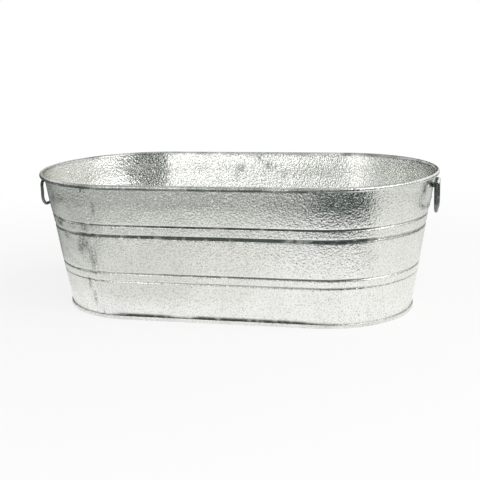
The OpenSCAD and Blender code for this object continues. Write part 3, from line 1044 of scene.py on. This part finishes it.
def zinc_finish(slot):
    """The material of one slot: hot-dip zinc with that slot's own values."""
    name = slot.replace("_", " ") + " finish"
    if name in bpy.data.materials:
        return bpy.data.materials[name]
    look = bpy.context.scene.tub_finish
    bright, dull = look.bright, look.dull
    if slot == "galvanised_wire":
        bright, dull = look.wire, look.dull_wire
    spangle, dullness, ripple, run, grime_and_shade, rougher = FINISHES[slot]
    material = bpy.data.materials.new(name)
    tree = emptied(material)
    out = add_node(tree, "ShaderNodeOutputMaterial")
    surface = add_node(tree, "ShaderNodeBsdfPrincipled", {"Metallic": 1.0})
    values = {"Bright": (*bright, 1), "Dull": (*dull, 1), "Fleck": (*look.fleck, 1)}
    values.update({"Spangle": spangle, "Dullness": dullness, "Speckle": SPECKLE})
    body = group_node(tree, "Zinc colour", zinc_colour, values)
    values = {"Grime and shade": (*look.grime_and_shade, 1), "Stain and shade": (*look.stain, 1), "Amount": grime_and_shade}
    shade_and_dross = group_node(tree, "Crevice grime", crevice_grime, values)
    values = {"Grain": look.grain, "Ripple": ripple, "Run": run}
    relief = group_node(tree, "Zinc relief", zinc_relief, values)
    bump = add_node(tree, "ShaderNodeBump", {"Strength": 1.0, "Distance": 1.0})
    rough = look.rough + rougher
    rough = math_node(tree, "MULTIPLY_ADD", body.outputs["Dulled"], DULL_ROUGHNESS, rough)
    rough = math_node(tree, "MULTIPLY_ADD", shade_and_dross.outputs["Mask"], GRIME_AND_SHADE_ROUGHNESS, rough)
    tree.links.new(body.outputs["Color"], shade_and_dross.inputs["Color"])
    tree.links.new(shade_and_dross.outputs["Color"], surface.inputs["Base Color"])
    tree.links.new(rough, surface.inputs["Roughness"])
    tree.links.new(relief.outputs["Height"], bump.inputs["Height"])
    tree.links.new(bump.outputs["Normal"], surface.inputs["Normal"])
    tree.links.new(surface.outputs[0], out.inputs["Surface"])
    return material


# Stage


def seen_rays(tree):
    """1 for rays that see the stage and 0 for rays that it only lights."""
    path = add_node(tree, "ShaderNodeLightPath")
    seen = math_node(tree, "MAXIMUM", path.outputs["Is Camera Ray"], path.outputs["Is Glossy Ray"])
    return math_node(tree, "MAXIMUM", seen, path.outputs["Is Transmission Ray"])


def end_mixed(tree, kind, share, lit, seen):
    """Ends a tree in an output of a kind that mixes two shaders by a share."""
    out = add_node(tree, kind)
    mix = add_node(tree, "ShaderNodeMixShader")
    feed(tree, mix, enumerate((share, lit.outputs[0], seen.outputs[0])))
    tree.links.new(mix.outputs[0], out.inputs["Surface"])


def white_room(stage):
    """A world that looks white and gives an even light."""
    world = bpy.data.worlds.new("White room")
    bpy.context.scene.world = world
    tree = emptied(world)
    seen = add_node(tree, "ShaderNodeBackground", {"Color": WHITE, "Strength": 1.0})
    lit = add_node(tree, "ShaderNodeBackground", {"Color": WHITE, "Strength": stage.ambient})
    end_mixed(tree, "ShaderNodeOutputWorld", seen_rays(tree), lit, seen)


def stage_sheet(name, verts, faces):
    """A mesh that belongs to the stage."""
    mesh = bpy.data.meshes.new(name)
    mesh.from_pydata(verts, [], faces)
    mesh.shade_smooth()
    sheet = bpy.data.objects.new(name, mesh)
    bpy.context.scene.collection.objects.link(sheet)
    return sheet


def pale_floor(stage):
    """A pale floor that looks white to the camera but for the tub's shadow."""
    reach = 8.0
    corners = [(-reach, -reach, 0), (reach, -reach, 0), (reach, reach, 0), (-reach, reach, 0)]
    floor = stage_sheet("Floor", corners, [(0, 1, 2, 3)])
    material = bpy.data.materials.new("Pale floor")
    tree = emptied(material)
    matt = add_node(tree, "ShaderNodeBsdfDiffuse", {"Color": (*stage.floor, 1)})
    white = add_node(tree, "ShaderNodeEmission", {"Color": WHITE, "Strength": 1.0})
    where = add_node(tree, "ShaderNodeTexCoord")
    far = add_node(tree, "ShaderNodeVectorMath", operation="LENGTH")
    tree.links.new(where.outputs["Object"], far.inputs[0])
    # Whiter from the tub's shadow outwards
    whiter = ranged(tree, far.outputs["Value"], 0.35, 1.2, 0.80, 1.0)
    share = math_node(tree, "MULTIPLY", seen_rays(tree), whiter)
    end_mixed(tree, "ShaderNodeOutputMaterial", share, matt, white)
    floor.data.materials.append(material)


def rim_reach(bearing):
    """Distance from the tub's middle to its rim on a bearing from the front."""
    across, ahead = abs(math.sin(bearing)), abs(math.cos(bearing))
    if RIM_HIGH.y * across <= END_X * ahead:
        return RIM_HIGH.y / ahead
    return END_X * across + math.sqrt(RIM_HIGH.y**2 - (END_X * ahead) ** 2)


GROUND = 2 * MM
FAR = 6.0
# What the metal reflects: each card's bearings from the front, its clearance from the rim and shade
# over the ground, then its height and shade up a wall at its far edge
ROOM = {
    "Left corner": ((-165, -110), ((0.01, 0.60), (0.16, 0.28), (1.40, 0.06)), ((0.55, 0.06),)),
    "Left room": (
        (-110, -48),
        ((0.01, 0.82), (0.13, 0.70), (0.16, 0.52), (0.50, 0.50), (0.80, 0.12), (1.40, 0.06)),
        ((0.55, 0.06),),
    ),
    "Left floor": (
        (-48, -15),
        ((0.01, 0.72), (0.19, 0.74), (0.21, 0.92), (0.252, 0.92), (0.264, 0.40), (1.70, 0.36)),
        (),
    ),
    "Front floor": (
        (-15, 10),
        ((0.01, 0.88), (0.19, 0.84), (0.21, 1.0), (0.252, 1.0), (0.264, 0.30), (1.70, 0.24)),
        (),
    ),
    "Dark floor": ((8, 26.5), ((0.242, 0.02), (FAR, 0.0)), ()),
    "Darker floor": ((27.3, 37.5), ((0.242, 0.0), (FAR, 0.0)), ()),
    "Darkest floor": ((38.3, 60), ((0.242, 0.0), (FAR, 0.0)), ()),
    "Right room": (
        (60, 150),
        ((0.01, 0.96), (0.18, 0.88), (0.40, 0.76), (1.00, 0.60), (1.40, 0.15)),
        ((0.27, 0.15), (0.32, 0.78), (0.70, 0.80)),
    ),
    "Back floor": ((150, 195), ((0.01, 0.86), (0.22, 0.70), (0.26, 0.32), (1.70, 0.20)), ()),
    "Back doorway": ((166, 192), ((1.70, 0.0),), ((1.20, 0.0),)),
    "Dark doorway": ((-1.5, 53), ((FAR, 0.0),), ((FAR, 0.0),)),
    "Pale wall": ((-36, -24), ((FAR, 0.72),), ((FAR, 0.72),)),
    "Grey wall": ((-52, -36), ((FAR, 0.62),), ((FAR, 0.62),)),
}
# The arched ceiling: its reach, its rise, its lowest and highest angle, its rows and its shade
CEILING_REACH, CEILING_RISE = 2.3, 2.5
CEILING_ANGLES = (42, 76, 10)
CEILING_SHADE = 0.44


def card_paths():
    """Name, bearings and path of each card; a path gives clearance, height and shade."""
    for name, (bearings, ground, wall) in ROOM.items():
        far = ground[-1][0]
        path = [(clear, GROUND, shade) for clear, shade in ground]
        yield name, bearings, path + [(far, height, shade) for height, shade in wall]
    arch = np.radians(np.linspace(*CEILING_ANGLES))
    path = [(CEILING_REACH * math.cos(a), CEILING_RISE * math.sin(a), CEILING_SHADE) for a in arch]
    yield "Ceiling", (-180, 180), path


def room_paint(stage):
    """A glowing paint from the room's darkest to its palest part, by the card's shade."""
    material = bpy.data.materials.new("Room paint")
    tree = emptied(material)
    out = add_node(tree, "ShaderNodeOutputMaterial")
    mark = add_node(tree, "ShaderNodeAttribute", attribute_name="shade")
    glow = add_node(tree, "ShaderNodeEmission", {"Strength": 1.0})
    tint = mix_colours(tree, mark.outputs["Fac"], (*stage.dark, 1), (*stage.pale, 1))
    tree.links.new(tint, glow.inputs["Color"])
    tree.links.new(glow.outputs[0], out.inputs["Surface"])
    return material


def reflected_card(name, paint, between, path):
    """A bent card that only the metal sees, between two bearings from the front."""
    bearings = np.radians(np.linspace(*between, CARD_COLUMNS))
    reaches = [rim_reach(b) for b in bearings]
    verts = [
        ((reach + clear) * math.sin(b), -(reach + clear) * math.cos(b), height)
        for clear, height, _ in path
        for b, reach in zip(bearings, reaches)
    ]
    wide = len(bearings)
    faces = [
        (k * wide + n, k * wide + n + 1, (k + 1) * wide + n + 1, (k + 1) * wide + n)
        for k in range(len(path) - 1)
        for n in range(wide - 1)
    ]
    card = stage_sheet(name, verts, faces)
    mark = card.data.attributes.new("shade", "FLOAT", "POINT")
    mark.data.foreach_set("value", np.repeat([shade for *_, shade in path], wide))
    card.data.materials.append(paint)
    for rays in ("camera", "diffuse", "transmission", "shadow"):
        setattr(card, f"visible_{rays}", False)


# Place and size of each lamp, and what both point at
KEY_LAMP = ((1.5, -0.9, 1.9), 2.4)
FILL_LAMP = ((-0.85, -2.1, 0.8), 1.0)
LAMP_AIM = Vector((0, 0, 0.1))


def soft_lamp(name, place, size, power):
    """A large square lamp pointed at the tub."""
    lamp = bpy.data.lights.new(name, "AREA")
    lamp.size = size
    lamp.energy = power
    holder = bpy.data.objects.new(name, lamp)
    holder.location = place
    holder.rotation_euler = (LAMP_AIM - Vector(place)).to_track_quat("-Z", "Y").to_euler()
    bpy.context.scene.collection.objects.link(holder)


def photo_camera(stage):
    """The camera at the photograph's viewing angle."""
    turn, rise, roll = stage.azimuth, stage.elevation, stage.roll
    flat = math.cos(rise)
    back = Vector((math.sin(turn) * flat, -math.cos(turn) * flat, math.sin(rise)))
    level = Vector((math.cos(turn), math.sin(turn), 0))
    upright = back.cross(level)
    right = level * math.cos(roll) + upright * math.sin(roll)
    up = upright * math.cos(roll) - level * math.sin(roll)
    place = level * stage.aim_right + Vector((0, 0, stage.aim_height)) + back * stage.distance
    data = bpy.data.cameras.new("Camera")
    data.sensor_width = 36
    data.sensor_fit = "HORIZONTAL"
    data.lens = stage.lens
    data.clip_start = 0.01
    holder = bpy.data.objects.new("Camera", data)
    axes = Matrix((right, up, back)).transposed()
    holder.matrix_world = Matrix.Translation(place) @ axes.to_4x4()
    bpy.context.scene.collection.objects.link(holder)
    bpy.context.scene.camera = holder


# Operators

SIDES = {"right": 1, "left": -1}


class TUB_OT_body(bpy.types.Operator):
    """Make the two body sheets with grooves, lock seams and rolled rim"""

    bl_idname = "tub.body"
    bl_label = "Body sheets"

    def execute(self, context):
        sizes = context.scene.tub_sheet
        for side, turned in (("front", False), ("back", True)):
            sheet = body_sheet(f"{side}_body", sizes, turned)
            dress(sheet, "tub", f"{side}_sheet", "galvanised_sheet")
        return {"FINISHED"}


class TUB_OT_pan(bpy.types.Operator):
    """Make the raised floor with its folded edge"""

    bl_idname = "tub.pan"
    bl_label = "Bottom pan"

    def execute(self, context):
        pan = bottom_pan("floor_pan", context.scene.tub_sheet)
        dress(pan, "tub", "bottom_pan", "galvanised_floor")
        return {"FINISHED"}


class TUB_OT_ears(bpy.types.Operator):
    """Make the two stamped ears"""

    bl_idname = "tub.ears"
    bl_label = "Ears"

    def execute(self, context):
        sizes, fittings = context.scene.tub_sheet, context.scene.tub_fittings
        for end, side in SIDES.items():
            ear = ear_plate(f"ear_{end}", sizes, fittings, side)
            dress(ear, "tub", f"{end}_ear", "galvanised_ear")
        return {"FINISHED"}


class TUB_OT_handles(bpy.types.Operator):
    """Make the two drop handles"""

    bl_idname = "tub.handles"
    bl_label = "Drop handles"

    def execute(self, context):
        fittings = context.scene.tub_fittings
        for end, side in SIDES.items():
            handle = drop_handle(f"handle_{end}", fittings, side)
            dress(handle, f"{end}_drop_handle", f"{end}_handle", "galvanised_wire")
        return {"FINISHED"}


class TUB_OT_wire_and_rivets(bpy.types.Operator):
    """Give the rim wire and the rivets, whose CAD shapes stay, their finish"""

    bl_idname = "tub.wire_and_rivets"
    bl_label = "Rim wire and rivets"

    def execute(self, context):
        slots = {f"{end}_rivets": "zinc_rivet" for end in SIDES}
        slots["rim_wire"] = "galvanised_wire"
        for node, slot in slots.items():
            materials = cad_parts[node].data.materials
            materials.clear()
            materials.append(zinc_finish(slot))
        return {"FINISHED"}


class TUB_OT_stage(bpy.types.Operator):
    """Set the floor, the light and the camera"""

    bl_idname = "tub.stage"
    bl_label = "Stage"

    def execute(self, context):
        stage = context.scene.tub_stage
        context.scene.view_settings.view_transform = "Standard"
        white_room(stage)
        pale_floor(stage)
        soft_lamp("Soft key", *KEY_LAMP, stage.key)
        soft_lamp("Soft fill", *FILL_LAMP, stage.fill)
        paint = room_paint(stage)
        for name, between, path in card_paths():
            reflected_card(name, paint, between, path)
        photo_camera(stage)
        return {"FINISHED"}


class TUB_PT_panel(bpy.types.Panel):
    """The tub's steps and sizes"""

    bl_idname = "TUB_PT_panel"
    bl_label = "Oval washing tub"
    bl_space_type = "VIEW_3D"
    bl_region_type = "UI"
    bl_category = "Tub"

    def draw(self, context):
        for step in STEPS:
            self.layout.operator(step.bl_idname)
        for name in GROUPS:
            group = getattr(context.scene, name)
            box = self.layout.box()
            for key in group.bl_rna.properties.keys():
                if key not in ("rna_type", "name"):
                    box.prop(group, key)


STEPS = (
    TUB_OT_body,
    TUB_OT_pan,
    TUB_OT_ears,
    TUB_OT_handles,
    TUB_OT_wire_and_rivets,
    TUB_OT_stage,
)
GROUPS = {
    "tub_sheet": TubSheetSizes,
    "tub_fittings": TubFittingSizes,
    "tub_finish": TubFinish,
    "tub_stage": TubStage,
}
CLASSES = (*GROUPS.values(), *STEPS, TUB_PT_panel)


def register():
    for made in CLASSES:
        bpy.utils.register_class(made)
    for name, group in GROUPS.items():
        setattr(bpy.types.Scene, name, PointerProperty(type=group))


def unregister():
    for name in GROUPS:
        delattr(bpy.types.Scene, name)
    for made in reversed(CLASSES):
        bpy.utils.unregister_class(made)


def main():
    register()
    bpy.ops.tub.body()
    bpy.ops.tub.pan()
    bpy.ops.tub.ears()
    bpy.ops.tub.handles()
    bpy.ops.tub.wire_and_rivets()
    bpy.ops.tub.stage()


if __name__ == "__main__":
    main()
